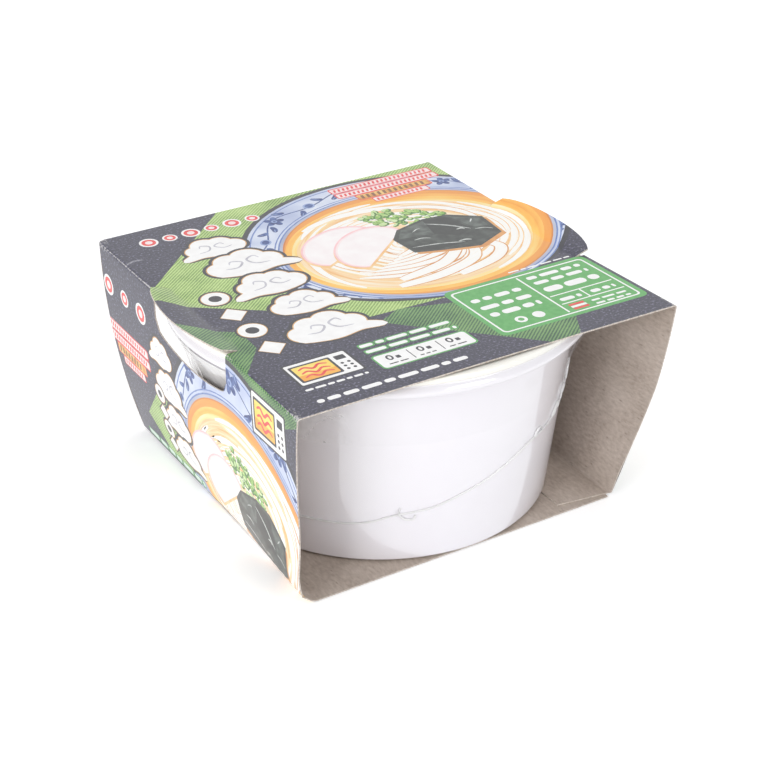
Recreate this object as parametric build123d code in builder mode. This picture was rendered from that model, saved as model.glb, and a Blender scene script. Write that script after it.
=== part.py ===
from build123d import *
from math import atan, degrees, hypot, sqrt
import os

# Instant noodle cup: a round plastic bowl of dry noodles, closed by a lid and wrapped in clear shrink
# film, held in a folded and glued paperboard sleeve. Millimetres, +Z up. The sleeve is a tube along Y
# with open ends. The bowl's rim comes out through a slot in each side panel, under a tongue of the top.

# bowl
base_radius = 60.1        # outside, at the foot
base_edge = 2.5           # rounding between the foot and the wall
wall_top_radius = 68.3    # outside, under the rim
bowl_height = 73.55       # from the foot to the seat of the lid
rim_overhang = 5.4        # how far the rim stands out past the wall
flange = 1.2              # thickness of the rim's flat ring
skirt = 1.2               # thickness of the rim's turned-down lip
skirt_drop = 4.3          # height of that lip
rim_edge = 0.4            # rounding of the rim's upper edge

# lid
lid_height = 1.95
lid_inset = 0.2           # how far the lid stops inside the rim's edge
lid_edge = 0.8            # rounding of the lid's upper edge

# shrink film
film = 0.15
bridge_height = 22.8      # height of the span that the film takes from the skirt in to the wall
bridge_sag = 1.3          # how far that span curves in from a straight line
vent_radius = 3.0         # vent under the foot

# sleeve
board = 0.5
top_length = 147.0        # along the tube
end_rake = 10.5           # how far each open end steps in from the top panel down to the bottom panel
foot_ease = 0.15          # clearance between the wrapped foot and each side panel
wall_ease = 2.05          # the same just under the top panel
lid_ease = 0.2            # clearance over the wrapped lid
bowl_forward = 3.5        # how far the bowl has slid towards the near end
side_bow = 3.0            # how far each side panel bows out between its folds
top_fold = 1.2            # outer radius of the two upper folds
bottom_fold = 2.0         # outer radius of the two lower folds
flap_width = 20.0         # glued flap, lying on the bottom panel along its right fold
flap_setback = 4.6        # how far the flap's ends stop short of the bottom panel's
flap_splay = 1.6          # how much less that is at the fold

# slots in the side panels and tongues of the top panel
slot_ease = 0.9           # beyond the wrapped rim at each end of the slot
slot_straight = 14.0      # depth of the slot's upright ends, below the top panel
slot_depth = 18.0         # depth of the slot at its middle
slot_corner = 4.0
tongue_cover = 3.15       # how far the tongue reaches past the wrapped rim
tongue_lift = 2.4         # how far the rim lifts the tongue's tip
tongue_kerf = 0.3         # cut between each end of the tongue and the slot

# levels
foot_z = 2 * board + film
rim_top_z = foot_z + bowl_height
skirt_z = rim_top_z - skirt_drop
lid_top_z = rim_top_z + lid_height
sleeve_height = lid_top_z + film + lid_ease + board

# widths
rim_radius = wall_top_radius + rim_overhang
wrapped_rim = rim_radius + film
bottom_width = 2 * (base_radius + film + foot_ease + board)
top_width = 2 * (wall_top_radius + film + wall_ease + board)

# The origin is under the middle of the whole part's box.
sleeve_y = (bowl_forward + wrapped_rim - top_length / 2) / 2
bowl_y = sleeve_y - bowl_forward
bowl_axis = Axis((0, bowl_y, 0), (0, 0, 1))
bowl_plane = Plane.XZ.offset(-bowl_y)


def panel_x(z):
    """Outer face of the right side panel at height z."""
    share = z / sleeve_height
    straight = bottom_width / 2 + (top_width - bottom_width) / 2 * share
    return straight + 4 * side_bow * share * (1 - share)


def wall_radius(z):
    """Outside of the bowl's wall at height z."""
    share = (z - foot_z - base_edge) / (bowl_height - flange - base_edge)
    return base_radius + (wall_top_radius - base_radius) * share


with BuildPart() as bowl:
    with BuildSketch(bowl_plane):
        with BuildLine():
            foot = Line((0, foot_z), (base_radius - base_edge, foot_z))
            heel = TangentArc(foot @ 1, (base_radius, foot_z + base_edge), tangent=(1, 0))
            Polyline(
                heel @ 1,
                (wall_top_radius, rim_top_z - flange),
                (rim_radius - skirt, rim_top_z - flange),
                (rim_radius - skirt, skirt_z),
                (rim_radius, skirt_z),
                (rim_radius, rim_top_z),
                (0, rim_top_z),
                (0, foot_z),
            )
        make_face()
    revolve(axis=bowl_axis)
    fillet(bowl.faces().sort_by(Axis.Z)[-1].edges(), rim_edge)
bowl.part.label = "bowl"


with BuildPart() as lid:
    with BuildSketch(Plane((0, bowl_y, rim_top_z))):
        Circle(rim_radius - lid_inset)
    extrude(amount=lid_height)
    fillet(lid.edges().group_by(Axis.Z)[-1], lid_edge)
lid.part.label = "lid"


# The film follows the lid and the skirt, spans in to the wall, and closes under the foot.
bridge_z = skirt_z - bridge_height
bridge_foot = (wall_radius(bridge_z) + film, bridge_z)
bridge_head = (wrapped_rim, skirt_z)
bridge_middle = (
    (bridge_foot[0] + bridge_head[0]) / 2 - bridge_sag,
    (bridge_foot[1] + bridge_head[1]) / 2,
)
film_top_z = lid_top_z + film

with BuildPart() as shrink_film:
    with BuildSketch(bowl_plane):
        with BuildLine():
            under = Line((0, foot_z - film), (base_radius - base_edge, foot_z - film))
            turn = TangentArc(under @ 1, (base_radius + film, foot_z + base_edge), tangent=(1, 0))
            Line(turn @ 1, bridge_foot)
            ThreePointArc(bridge_foot, bridge_middle, bridge_head)
            rise = Line(bridge_head, (wrapped_rim, film_top_z - lid_edge))
            over = TangentArc(rise @ 1, (wrapped_rim - lid_edge, film_top_z), tangent=(0, 1))
            Polyline(over @ 1, (0, film_top_z), (0, foot_z - film))
        make_face()
    revolve(axis=bowl_axis)
    with BuildSketch(Plane((0, bowl_y, foot_z))):
        Circle(vent_radius)
    extrude(amount=-2 * film, mode=Mode.SUBTRACT)
    add(bowl.part, mode=Mode.SUBTRACT)
    add(lid.part, mode=Mode.SUBTRACT)
shrink_film.part.label = "shrink_film"


# sleeve
across = Plane.XZ.offset(-sleeve_y)                                 # section of the tube
along = Plane((0, sleeve_y, 0), x_dir=(0, 1, 0), z_dir=(1, 0, 0))   # a side panel seen from the right
half_top = top_width / 2
half_bottom = bottom_width / 2
inner_x = panel_x(skirt_z) - board
slot_half = sqrt(wrapped_rim**2 - inner_x**2) + bowl_forward + slot_ease
slot_x = half_top - top_fold - board
far_out = wrapped_rim + 2 * tongue_cover - slot_x

# each side panel bows out at right angles to its own straight line
panel_length = hypot(sleeve_height, half_top - half_bottom)
bow_x = (half_top + half_bottom) / 2 + side_bow * sleeve_height / panel_length
bow_z = sleeve_height / 2 - side_bow * (half_top - half_bottom) / panel_length

with BuildPart() as sleeve:
    with BuildSketch(across) as section:
        with BuildLine():
            Line((-half_top, sleeve_height), (half_top, sleeve_height))
            ThreePointArc((half_top, sleeve_height), (bow_x, bow_z), (half_bottom, 0))
            Line((half_bottom, 0), (-half_bottom, 0))
            ThreePointArc((-half_bottom, 0), (-bow_x, bow_z), (-half_top, sleeve_height))
        make_face()
        fillet(section.vertices().group_by(Axis.Y)[-1], top_fold)
        fillet(section.vertices().group_by(Axis.Y)[0], bottom_fold)
        offset(amount=-board, mode=Mode.SUBTRACT)
    extrude(amount=top_length / 2, both=True)

    # raked ends: the top panel is the longest and the bottom panel the shortest
    with BuildSketch(along):
        for end in (-1, 1):
            with BuildLine():
                Polyline(
                    (end * (top_length / 2 + end_rake), sleeve_height - board),
                    (end * top_length / 2, sleeve_height - board),
                    (end * (top_length / 2 - end_rake), 0),
                    (end * (top_length / 2 - end_rake), -end_rake),
                    (end * (top_length / 2 + end_rake), -end_rake),
                    close=True,
                )
            make_face()
    extrude(amount=top_width, both=True, mode=Mode.SUBTRACT)

    # slots that the rim comes out through
    for side in (-1, 1):
        with BuildSketch(along.offset(side * slot_x)) as slot:
            with BuildLine():
                Polyline(
                    (slot_half, sleeve_height - slot_straight),
                    (slot_half, sleeve_height + top_fold),
                    (-slot_half, sleeve_height + top_fold),
                    (-slot_half, sleeve_height - slot_straight),
                )
                ThreePointArc(
                    (-slot_half, sleeve_height - slot_straight),
                    (0, sleeve_height - slot_depth),
                    (slot_half, sleeve_height - slot_straight),
                )
            make_face()
            fillet(slot.vertices().group_by(Axis.Y)[0], slot_corner)
        extrude(amount=side * far_out, mode=Mode.SUBTRACT)

    # tongues: the top panel goes on past each fold, over the rim, which lifts it
    tongue_reach = wrapped_rim + tongue_cover - slot_x
    tongue_slope = atan(tongue_lift / tongue_reach)
    tongue_length = hypot(tongue_lift, tongue_reach)
    tongue_half = slot_half - tongue_kerf
    shoulder = top_fold + board
    for side in (-1, 1):
        hinge = Plane((side * slot_x, sleeve_y, sleeve_height - board))
        tilted = hinge.rotated((0, -side * degrees(tongue_slope), 0))
        with BuildSketch(tilted):
            with BuildLine():
                Polyline(
                    (side * shoulder, -tongue_half),
                    (-side * board, -tongue_half),
                    (-side * board, tongue_half),
                    (side * shoulder, tongue_half),
                )
                ThreePointArc(
                    (side * shoulder, tongue_half),
                    (side * tongue_length, 0),
                    (side * shoulder, -tongue_half),
                )
            make_face()
        extrude(amount=board)

    # glued flap
    flap_in = half_bottom - bottom_fold / 2 - flap_width
    flap_out = half_bottom - bottom_fold / 2
    flap_end = top_length / 2 - end_rake - flap_setback
    with BuildSketch(Plane((0, sleeve_y, board))):
        with BuildLine():
            Polyline(
                (flap_in, -flap_end),
                (flap_out, -flap_end - flap_setback + flap_splay),
                (flap_out, flap_end + flap_setback - flap_splay),
                (flap_in, flap_end),
                close=True,
            )
        make_face()
    extrude(amount=board)
sleeve.part.label = "sleeve"


os.makedirs("parts", exist_ok=True)
for piece in (bowl, lid, shrink_film, sleeve):
    export_step(piece.part, f"parts/{piece.part.label}.step")
    size = piece.part.bounding_box().size
    print(f"{piece.part.label}: {len(piece.part.solids())} solid, {size.X:.2f} x {size.Y:.2f} x {size.Z:.2f}")
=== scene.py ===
import math
import random

import bpy
import numpy as np
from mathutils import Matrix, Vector, noise
from mathutils.geometry import delaunay_2d_cdt


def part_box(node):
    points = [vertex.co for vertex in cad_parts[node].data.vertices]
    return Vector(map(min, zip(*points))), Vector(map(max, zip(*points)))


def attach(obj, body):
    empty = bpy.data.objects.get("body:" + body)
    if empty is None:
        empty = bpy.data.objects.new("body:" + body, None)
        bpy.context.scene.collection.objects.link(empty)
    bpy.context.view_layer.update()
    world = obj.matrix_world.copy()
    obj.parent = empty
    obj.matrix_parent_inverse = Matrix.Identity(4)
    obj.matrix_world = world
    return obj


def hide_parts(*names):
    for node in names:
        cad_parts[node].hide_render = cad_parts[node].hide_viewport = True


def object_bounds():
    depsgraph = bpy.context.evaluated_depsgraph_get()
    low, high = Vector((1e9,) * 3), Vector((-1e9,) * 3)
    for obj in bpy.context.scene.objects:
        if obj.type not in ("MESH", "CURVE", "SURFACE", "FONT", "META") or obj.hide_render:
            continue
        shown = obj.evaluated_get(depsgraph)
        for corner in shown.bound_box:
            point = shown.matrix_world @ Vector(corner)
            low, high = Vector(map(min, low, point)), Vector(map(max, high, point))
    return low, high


# Instant noodle cup: a shrink-wrapped bowl in a folded paperboard sleeve. The frame is in metres; the
# sizes below are in millimetres and are turned to metres by mm.
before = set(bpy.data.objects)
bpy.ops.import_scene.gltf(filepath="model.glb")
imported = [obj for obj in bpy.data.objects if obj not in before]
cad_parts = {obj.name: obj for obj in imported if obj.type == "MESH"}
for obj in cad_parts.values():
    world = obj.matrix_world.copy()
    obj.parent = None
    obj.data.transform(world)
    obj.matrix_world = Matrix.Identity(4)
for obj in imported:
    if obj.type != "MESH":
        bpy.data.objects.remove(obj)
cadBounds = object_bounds()
mm = 0.001
print("frame loaded")


def boxMm(node):
    low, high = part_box(node)
    return [v / mm for v in low], [v / mm for v in high]


sleeveLow, sleeveHigh = boxMm("sleeve")
bowlLow, bowlHigh = boxMm("bowl")
lidLow, lidHigh = boxMm("lid")
sleeveY = (sleeveLow[1] + sleeveHigh[1]) / 2      # middle of the tube
bowlY = (bowlLow[1] + bowlHigh[1]) / 2


# ---------- small helpers

def hexColor(text):
    values = [int(text[i:i + 2], 16) / 255 for i in (1, 3, 5)]
    return tuple(v / 12.92 if v <= 0.04045 else ((v + 0.055) / 1.055) ** 2.4 for v in values) + (1.0,)


def addNode(tree, kind, settings=None, links=None):
    node = tree.nodes.new(kind)
    for name, value in (settings or {}).items():
        if name.startswith("in:"):
            key = name[3:]
            socket = node.inputs[int(key)] if key.isdigit() else node.inputs[key]
            socket.default_value = value
        else:
            setattr(node, name, value)
    for name, source in (links or {}).items():
        tree.links.new(source, node.inputs[int(name)] if name.isdigit() else node.inputs[name])
    return node


def newMaterial(name, base, roughness, **sockets):
    material = bpy.data.materials.new(name)
    material.use_nodes = True
    tree = material.node_tree
    shader = tree.nodes["Principled BSDF"]
    shader.inputs["Base Color"].default_value = hexColor(base)
    shader.inputs["Roughness"].default_value = roughness
    for key, value in sockets.items():
        shader.inputs[key.replace("_", " ")].default_value = value
    return material, tree, shader


def ramp(tree, source, stops, interpolation="LINEAR"):
    node = addNode(tree, "ShaderNodeValToRGB", links={"0": source})
    node.color_ramp.interpolation = interpolation
    elements = node.color_ramp.elements
    while len(elements) < len(stops):
        elements.new(0.5)
    for element, (place, color) in zip(elements, stops):
        element.position = place
        element.color = hexColor(color)
    return node.outputs["Color"]


def smooth(x):
    x = min(max(x, 0.0), 1.0)
    return x * x * (3 - 2 * x)


def meshPiece(name, points, faces, materials, slots=None, shade=True):
    mesh = bpy.data.meshes.new(name)
    mesh.from_pydata([tuple(c * mm for c in p) for p in points], [], faces)
    for material in materials:
        mesh.materials.append(material)
    if slots is not None:
        mesh.polygons.foreach_set("material_index", slots)
    mesh.polygons.foreach_set("use_smooth", [shade] * len(faces))
    mesh.update()
    piece = bpy.data.objects.new(name, mesh)
    bpy.context.scene.collection.objects.link(piece)
    return piece


# ---------- camera, light and floor

view = dict(azimuth=-31.42, elevation=29.15, distance=607.1, aim=(-8.0, -14.1, 45.4), lens=83.9)


def placeCamera():
    azimuth, elevation = math.radians(view["azimuth"]), math.radians(view["elevation"])
    back = Vector((math.sin(azimuth) * math.cos(elevation),
                   -math.cos(azimuth) * math.cos(elevation), math.sin(elevation)))
    data = bpy.data.cameras.new("camera")
    data.lens = view["lens"]
    data.sensor_width = 36
    data.clip_start = 0.01
    camera = bpy.data.objects.new("camera", data)
    camera.location = (Vector(view["aim"]) + back * view["distance"]) * mm
    camera.rotation_euler = back.to_track_quat("Z", "Y").to_euler()
    bpy.context.scene.collection.objects.link(camera)
    bpy.context.scene.camera = camera


studio = dict(world=0.62, key=6.2, keySize=0.6, front=4.0, frontSize=0.6, left=2.2, leftSize=0.8,
              top=2.4, topSize=1.0, floorGlow=0.34, floorShine=0.3)


def areaLight(name, place, aim, size, power):
    data = bpy.data.lights.new(name, "AREA")
    data.shape = "DISK"
    data.size = size
    data.energy = power
    light = bpy.data.objects.new(name, data)
    light.location = place
    light.rotation_euler = (Vector(place) - Vector(aim)).to_track_quat("Z", "Y").to_euler()
    bpy.context.scene.collection.objects.link(light)


def placeStudio():
    world = bpy.data.worlds.new("studio")
    bpy.context.scene.world = world
    world.use_nodes = True
    tree = world.node_tree
    tree.nodes.clear()
    path = addNode(tree, "ShaderNodeLightPath")
    plain = addNode(tree, "ShaderNodeBackground", {"in:Color": (1, 1, 1, 1), "in:Strength": studio["world"]})
    white = addNode(tree, "ShaderNodeBackground", {"in:Color": (1, 1, 1, 1), "in:Strength": 1.0})
    seen = addNode(tree, "ShaderNodeMath", {"operation": "MAXIMUM"},
                   {"0": path.outputs["Is Camera Ray"], "1": path.outputs["Is Glossy Ray"]})
    mix = addNode(tree, "ShaderNodeMixShader", links={
        "0": seen.outputs[0], "1": plain.outputs[0], "2": white.outputs[0]})
    addNode(tree, "ShaderNodeOutputWorld", links={"Surface": mix.outputs[0]})

    areaLight("key", (-1.25, -0.55, 0.5), (0, 0, 0.04), studio["keySize"], studio["key"])
    areaLight("front", (0.35, -1.2, 0.7), (0, 0, 0.04), studio["frontSize"], studio["front"])
    areaLight("left", (-1.1, 0.15, 0.55), (0, 0, 0.04), studio["leftSize"], studio["left"])
    areaLight("top", (0.1, 0.3, 1.4), (0, 0, 0.04), studio["topSize"], studio["top"])

    floor = bpy.data.meshes.new("floor")
    reach = 3.0
    floor.from_pydata([(-reach, -reach, 0), (reach, -reach, 0), (reach, reach, 0), (-reach, reach, 0)],
                      [], [(0, 1, 2, 3)])
    piece = bpy.data.objects.new("floor", floor)
    piece.location.z = cadBounds[0][2] - 0.0002
    bpy.context.scene.collection.objects.link(piece)
    material, tree, shader = newMaterial("studioFloor", "#f4f4f4", 0.7)
    path = addNode(tree, "ShaderNodeLightPath")
    glow = addNode(tree, "ShaderNodeEmission", {"in:Color": (1, 1, 1, 1), "in:Strength": studio["floorGlow"]})
    both = addNode(tree, "ShaderNodeAddShader", links={"0": shader.outputs[0], "1": glow.outputs[0]})
    shine = addNode(tree, "ShaderNodeEmission", {"in:Color": (1, 1, 1, 1), "in:Strength": studio["floorShine"]})
    mirrored = addNode(tree, "ShaderNodeAddShader", links={"0": shader.outputs[0], "1": shine.outputs[0]})
    plain = addNode(tree, "ShaderNodeMixShader", links={
        "0": path.outputs["Is Glossy Ray"], "1": shader.outputs[0], "2": mirrored.outputs[0]})
    seen = addNode(tree, "ShaderNodeMixShader", links={
        "0": path.outputs["Is Camera Ray"], "1": plain.outputs[0], "2": both.outputs[0]})
    tree.links.new(seen.outputs[0], tree.nodes["Material Output"].inputs["Surface"])
    floor.materials.append(material)


placeCamera()
placeStudio()
bpy.context.scene.view_settings.view_transform = "Standard"
print("camera and light placed")


# ---------- section of the sleeve: the path of its printed face in (x, z), from the flap's free edge
# round the right side, the top and the left side to the bottom panel's free edge

sleeve = dict(
    halfTop=71.0, halfBottom=60.9, height=77.5, board=0.5, sideBow=3.0, topFold=1.2, bottomFold=2.0,
    flapWidth=20.0, hingeX=66.5, slotHalf=26.5, slotStraight=14.0, slotDepth=18.0, slotCorner=4.0,
    kerf=0.35, tongueTip=77.2, tongueShoulder=72.0, tongueLift=2.7, gridStep=4.0,
    nearTop=73.6, farTop=74.2, nearBottom=62.5, farBottom=66.3, flapEnd=58.4)


def sideX(z):
    share = z / sleeve["height"]
    return (sleeve["halfBottom"] + (sleeve["halfTop"] - sleeve["halfBottom"]) * share
            + 4 * sleeve["sideBow"] * share * (1 - share))


def foldPoints(before, corner, after, radius, count=7):
    corner = Vector(corner)
    a, b = (Vector(before) - corner).normalized(), (Vector(after) - corner).normalized()
    half = a.angle(b) / 2
    centre = corner + (a + b).normalized() * radius / math.sin(half)
    start = corner + a * radius / math.tan(half) - centre
    end = corner + b * radius / math.tan(half) - centre
    turn = math.acos(max(-1, min(1, start.normalized().dot(end.normalized()))))
    points = []
    for k in range(count + 1):
        t = k / count
        p = (start * math.sin((1 - t) * turn) + end * math.sin(t * turn)) / math.sin(turn)
        points.append(tuple(centre + p))
    return points


def sleevePath():
    top, low = sleeve["height"], sleeve["board"] + 0.05
    rise = [z for z in np.arange(5.0, top - 3, 3.0)]
    right = [(sideX(z), z) for z in rise]
    left = [(-x, z) for x, z in reversed(right)]
    folds = [
        foldPoints((50, low), (sleeve["halfBottom"], low), right[0], sleeve["bottomFold"] - 0.4),
        foldPoints(right[-1], (sleeve["halfTop"], top), (0, top), sleeve["topFold"]),
        foldPoints((0, top), (-sleeve["halfTop"], top), left[0], sleeve["topFold"]),
        foldPoints(left[-1], (-sleeve["halfBottom"], 0), (0, 0), sleeve["bottomFold"]),
    ]
    path = ([(sleeve["halfBottom"] - 1 - sleeve["flapWidth"], low)] + folds[0] + right + folds[1]
            + folds[2] + left + folds[3] + [(sleeve["halfBottom"] - 1.6, 0)])
    path = np.array([(p[0], p[1]) for p in path])
    run = np.concatenate([[0], np.cumsum(np.hypot(*np.diff(path, axis=0).T))])

    def at(fold, index):
        return run[np.argmin(np.hypot(*(path - np.array(fold[index])).T))]
    creases = [(at(fold, 0), at(fold, -1)) for fold in folds]
    return path, run, creases


path, run, creases = sleevePath()
foldS = [(a + b) / 2 for a, b in creases]          # flap and right side, right top, left top, left bottom
sheetEnd = run[-1]
topMid = (foldS[1] + foldS[2]) / 2
tangents = np.gradient(path, run, axis=0)
tangents /= np.hypot(*tangents.T)[:, None]

panels = dict(flap=(0, foldS[0]), right=(foldS[0], foldS[1]), top=(foldS[1], foldS[2]),
              left=(foldS[2], foldS[3]), bottom=(foldS[3], sheetEnd))
placeOn = dict(                                     # from a panel's own x and y to the flat sheet
    top=lambda x, y: (topMid - x, y),
    left=lambda x, y: (foldS[3] - y, -x),
    right=lambda x, y: (foldS[0] + y, x),
    bottom=lambda x, y: (foldS[3] + 61 + x, y),
    flap=lambda x, y: (x, y))


def foldSheet(s, y, deep):
    """Points of the folded sleeve for flat places (s, y), deep below the printed face."""
    x = np.interp(s, run, path[:, 0])
    z = np.interp(s, run, path[:, 1])
    tx = np.interp(s, run, tangents[:, 0])
    tz = np.interp(s, run, tangents[:, 1])
    size = np.hypot(tx, tz)
    nx, nz = tz / size, -tx / size

    flatX = topMid - s                              # tongues carry on past the fold
    reach = np.abs(flatX) - sleeve["hingeX"]
    onTongue = (reach > -1e-6) & (reach < 12) & (np.abs(y) < sleeve["slotHalf"] - sleeve["kerf"] / 2)
    share = np.clip(reach / (sleeve["tongueTip"] - sleeve["hingeX"]), 0, 1.2)
    lift = sleeve["tongueLift"] * share ** 0.8 * (1 - 0.12 * np.cos(np.clip(y / 26, -1, 1) * math.pi))
    x = np.where(onTongue, flatX, x)
    z = np.where(onTongue, sleeve["height"] + lift, z)
    tilt = 0.26 * np.sign(flatX)
    nx = np.where(onTongue, -tilt, nx)
    nz = np.where(onTongue, 1.0, nz)

    x, z = x - nx * deep, z - nz * deep
    height = np.clip(z / sleeve["height"], 0, 1)
    near = np.clip((-y - 28) / 45, 0, 1) ** 1.6     # the near end is squeezed out of true
    bulge = np.exp(-((z - 9) / 10) ** 2)
    leftShift = (-3.6 * np.exp(-((z - 6) / 16) ** 2) * np.clip(-y / 64, 0, 1) ** 1.2 * np.clip(z / 4, 0, 1)
                 + near * (0.5 * np.exp(-((z - 50) / 22) ** 2) - 0.5 * height))
    rightShift = near * (2.0 * np.clip((z - 24) / 20, 0, 1) - 1.7 * bulge)
    side = np.clip(np.abs(x) / 60, 0, 1) ** 4
    x = x + np.where(x < 0, leftShift, rightShift) * side
    z = z + 0.35 * near * np.cos(x / 46) * (height > 0.5) - 0.15 * (height > 0.5)
    return np.stack([x, y + sleeveY, z], axis=1)


# ---------- the printed sheet: every shape of the print is a polygon on the flat sheet, and one
# triangulation joins them all, so that each triangle takes the ink of the topmost shape over it

shapes = []                                        # (panel, ink, points on the flat sheet)


def put(panel, ink, points):
    flat = [placeOn[panel](x, y) for x, y in points]
    area = sum(a[0] * b[1] - a[1] * b[0] for a, b in zip(flat, flat[1:] + flat[:1]))
    shapes.append((panel, ink, flat if area > 0 else flat[::-1]))


def ellipse(cx, cy, a, b, turn=0.0, count=40):
    c, s = math.cos(turn), math.sin(turn)
    points = []
    for k in range(count):
        t = 2 * math.pi * k / count
        u, v = a * math.cos(t), b * math.sin(t)
        points.append((cx + u * c - v * s, cy + u * s + v * c))
    return points


def roundRect(x0, y0, x1, y1, r, slant=0.0):
    points = []
    for cx, cy, start in ((x1 - r, y0 + r, -90), (x1 - r, y1 - r, 0), (x0 + r, y1 - r, 90), (x0 + r, y0 + r, 180)):
        for k in range(5):
            t = math.radians(start + 90 * k / 4)
            x, y = cx + r * math.cos(t), cy + r * math.sin(t)
            points.append((x + slant * (y - y0), y))
    return points


def curve(points, steps=6):
    """Points of a smooth line through a few given ones."""
    ends = [points[0]] + list(points) + [points[-1]]
    line = []
    for p0, p1, p2, p3 in zip(ends, ends[1:], ends[2:], ends[3:]):
        for k in range(steps):
            t = k / steps
            line.append(tuple(0.5 * (2 * b + (c - a) * t + (2 * a - 5 * b + 4 * c - d) * t * t
                                     + (3 * b - a - 3 * c + d) * t ** 3)
                              for a, b, c, d in zip(p0, p1, p2, p3)))
    return line + [tuple(points[-1])]


def stroke(line, width, taper=0.35):
    """A band along a line, narrowing towards both ends."""
    left, right = [], []
    for k, (x, y) in enumerate(line):
        a, b = line[max(k - 1, 0)], line[min(k + 1, len(line) - 1)]
        size = math.hypot(b[0] - a[0], b[1] - a[1]) or 1
        nx, ny = -(b[1] - a[1]) / size, (b[0] - a[0]) / size
        t = k / (len(line) - 1)
        w = width / 2 * (taper + (1 - taper) * math.sin(math.pi * min(max(t, 0.0), 1.0)) ** 0.5)
        left.append((x + nx * w, y + ny * w))
        right.append((x - nx * w, y - ny * w))
    return left + right[::-1]


printing = dict(strands=62, onions=76, seed=4)
rng = random.Random(printing["seed"])


def vineScroll(panel, onRing, thick):
    """A painted vine that winds round the ring, with flowers at its crests and leaves between."""
    waves, count = 9, 144
    line = [onRing(2 * math.pi * k / count, 0.52 + 0.2 * math.sin(waves * 2 * math.pi * k / count))
            for k in range(count + 1)]
    put(panel, "blueInk", stroke(line, 0.6, 1.0))
    for k in range(2 * waves):
        t = math.pi * (k + 0.5) / waves
        size = min(1.0, thick(t) / 14)
        if size < 0.25:
            continue
        share = 0.62 if k % 2 == 0 else 0.4
        x, y = onRing(t, share)
        along = math.atan2(onRing(t + 0.05, share)[1] - y, onRing(t + 0.05, share)[0] - x)
        if k % 2 == 0:
            for petal in range(5):
                turn = along + 2 * math.pi * petal / 5
                put(panel, "blueInk", ellipse(x + 2.7 * size * math.cos(turn), y + 2.7 * size * math.sin(turn),
                                              2.4 * size, 1.6 * size, turn, 12))
            put(panel, "paleBlueInk", ellipse(x, y, 1.5 * size, 1.5 * size, 0, 12))
            put(panel, "blueInk", ellipse(x, y, 0.7 * size, 0.7 * size, 0, 8))
        else:
            put(panel, "paleBlueInk", ellipse(x, y, 3.2 * size, 2.7 * size, along, 16))
            put(panel, "blueInk", ellipse(x, y, 2.2 * size, 1.8 * size, along, 14))
        for side in (-1, 1):
            lx, ly = onRing(t + side * 0.12, share - 0.22 * side)
            turn = along + side * 0.8
            tip = (lx + 3.4 * size * math.cos(turn), ly + 3.4 * size * math.sin(turn))
            root = (lx - 3.0 * size * math.cos(turn), ly - 3.0 * size * math.sin(turn))
            bend = (lx - 0.7 * size * math.sin(turn), ly + 0.7 * size * math.cos(turn))
            put(panel, "blueInk", stroke(curve([root, bend, tip], 4), 2.9 * size, 0.1))
            put(panel, "paleBlueInk", stroke(curve([bend, tip], 3), 0.6 * size, 0.3))


def noodleBowl(panel, cx, cy, ring, broth, bed):
    """A blue and white bowl of noodles seen from above. ring, broth and bed are (dx, dy, a, b)."""
    def oval(part, grow=0.0, count=72):
        dx, dy, a, b = part
        return ellipse(cx + dx, cy + dy, a + grow, b + grow, 0, count)

    def onRing(t, share):
        """A place on the ring at angle t, share of the way from its inner to its outer edge."""
        inner = (cx + broth[0] + (broth[2] + 3) * math.cos(t), cy + broth[1] + (broth[3] + 3) * math.sin(t))
        outer = (cx + ring[0] + (ring[2] - 1) * math.cos(t), cy + ring[1] + (ring[3] - 1) * math.sin(t))
        return tuple(i + (o - i) * share for i, o in zip(inner, outer))

    def inBed(t, r):
        return (cx + bed[0] + bed[2] * r * math.cos(t), cy + bed[1] + bed[3] * r * math.sin(t))

    put(panel, "bowlShade", oval(ring, 2.0))
    put(panel, "porcelain", oval(ring))
    put(panel, "blueLine", oval(ring, -1.2))
    put(panel, "porcelain", oval(ring, -1.8))
    vineScroll(panel, onRing, lambda t: math.dist(onRing(t, 0), onRing(t, 1)))
    for grow, ink in ((3.6, "blueLine"), (3.1, "porcelain"), (2.3, "blueLine"), (1.7, "porcelainShade"),
                      (0.6, "brothEdge"), (0.0, "brothDeep"), (-2.6, "broth")):
        put(panel, ink, oval(broth, grow))
    put(panel, "brothGold", oval(bed, 4.2, 56))
    put(panel, "brothYellow", oval(bed, 1.8, 56))
    put(panel, "noodleBed", oval(bed, 0.0, 56))
    for k in range(printing["strands"]):            # strands lie in a swirl, long ones outside
        share = 1.03 - 0.95 * (k / printing["strands"]) ** 0.8
        start = rng.uniform(0, 2 * math.pi)
        length = rng.uniform(0.8, 2.3)
        wander = rng.uniform(-0.07, 0.07)
        drift = rng.uniform(-0.12, 0.16)
        count = max(6, int(8 * length * (0.3 + share)))
        line = []
        for j in range(count + 1):
            t = start + length * j / count
            line.append(inBed(t, share * (1 + wander * math.sin(2 * t + k) + drift * (j / count - 0.5))))
        wide = rng.uniform(2.3, 3.6)
        put(panel, rng.choice(["noodleShade", "noodleShade", "noodleGap"]), stroke(line, wide + 0.9, 0.2))
        put(panel, rng.choice(["noodle", "noodle", "noodle", "noodleWarm"]), stroke(line, wide, 0.3))
        put(panel, "noodleLight", stroke(line[1:-1], wide * 0.5, 0.2))
    for k in range(7):                              # a looser bundle drawn across the front
        lift = 0.085 * k
        line = curve([inBed(3.7 + 0.03 * k, 0.86 - lift), inBed(4.3, 0.72 - 1.1 * lift),
                      inBed(4.95 + 0.05 * k, 0.66 - 1.2 * lift), inBed(5.5 + 0.08 * k, 0.5 - 0.7 * lift)], 5)
        put(panel, "noodleGap", stroke(line, 3.6, 0.25))
        put(panel, "noodle", stroke(line, 2.7, 0.35))
        put(panel, "noodleLight", stroke(line[1:-1], 1.3, 0.2))


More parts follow.
